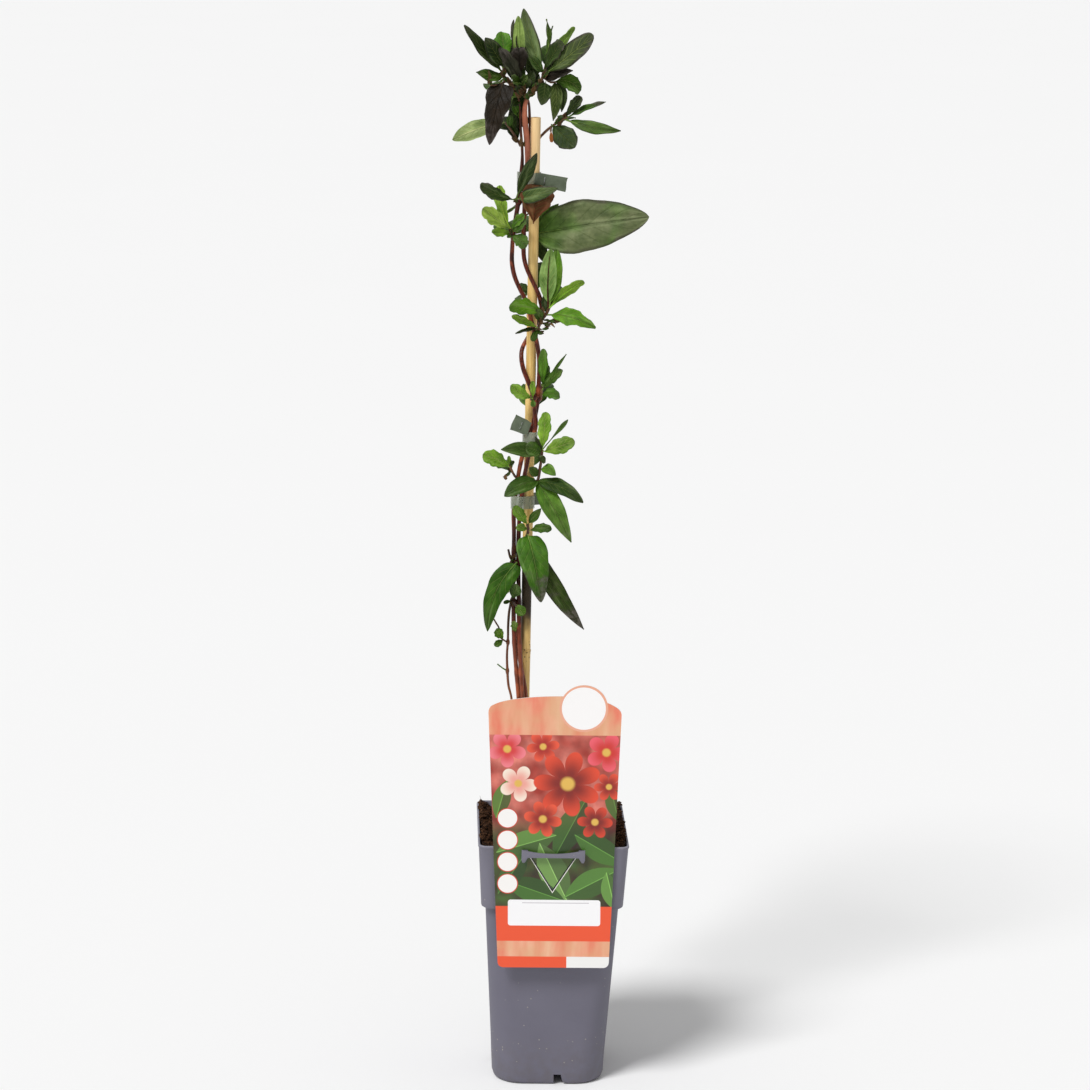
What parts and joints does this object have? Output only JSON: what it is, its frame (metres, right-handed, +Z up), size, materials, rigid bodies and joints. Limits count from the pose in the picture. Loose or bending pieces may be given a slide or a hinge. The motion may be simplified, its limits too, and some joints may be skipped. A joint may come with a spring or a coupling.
{
  "type": "honeysuckle vine",
  "caption": "Young climbing honeysuckle with twining red stems tied to a bamboo cane, in a tall square nursery pot with a hanging label.",
  "frame": {"origin": "middle of the pot's underside, on the surface that it stands on", "axes": "+Z up along the pot and cane, -Y to the front where the label hangs, +X to the right as seen from the front"},
  "size_m": [0.1414, 0.116, 0.7922],
  "materials": {
    "pot_plastic": "moulded grey polypropylene, dusty, with a paler rim",
    "soil": "moist dark compost of peat and wood fibre",
    "label_print": "printed and laminated card in salmon, green and orange",
    "bamboo": "dry bamboo, satin, darker at the joints",
    "stem_bark": "smooth reddish brown bark",
    "tie_film": "thin dull grey-green film",
    "staple_steel": "bright round wire",
    "dark_leaf": "dark olive leaves with a soft sheen",
    "green_leaf": "mid green leaves with purple-tinged margins",
    "young_leaf": "bright young leaves",
    "purple_leaf": "dark purple-brown leaf",
    "russet_leaf": "red-brown leaf"
  },
  "bodies": {
    "root": {"pot": "pot_plastic", "soil": "soil", "label_card": "label_print", "bamboo_cane": "bamboo", "stem_left": "stem_bark", "stem_right": "stem_bark", "stem_back": "stem_bark", "stem_thin": "stem_bark", "tie_upper": "tie_film", "tie_middle": "tie_film", "tie_lower": "tie_film", "staple_upper": "staple_steel", "staple_middle": "staple_steel", "staple_lower": "staple_steel", "crown_left_shoot": "dark_leaf", "crown_hanging_leaf": "purple_leaf", "crown_middle_shoot": "green_leaf", "crown_right_shoot": "dark_leaf", "upper_left_shoot": "green_leaf", "upper_right_shoot": "green_leaf", "tie_upper_leaves": "dark_leaf", "russet_leaf": "russet_leaf", "left_cluster": "young_leaf", "large_leaf_pair": "green_leaf", "middle_right_shoot": "green_leaf", "middle_back_shoot": "green_leaf", "lower_right_leaves": "green_leaf", "lower_left_leaves": "young_leaf", "tie_middle_leaves": "green_leaf", "tie_left_shoot": "young_leaf", "back_upper_leaves": "green_leaf", "back_middle_leaves": "dark_leaf", "back_lower_leaves": "dark_leaf", "base_front_shoot": "green_leaf", "base_left_leaf": "green_leaf", "base_node_leaves": "green_leaf", "base_bud": "young_leaf", "thin_shoot_leaves": "young_leaf", "thin_stem_twig": "green_leaf"}
  },
  "joints": []
}
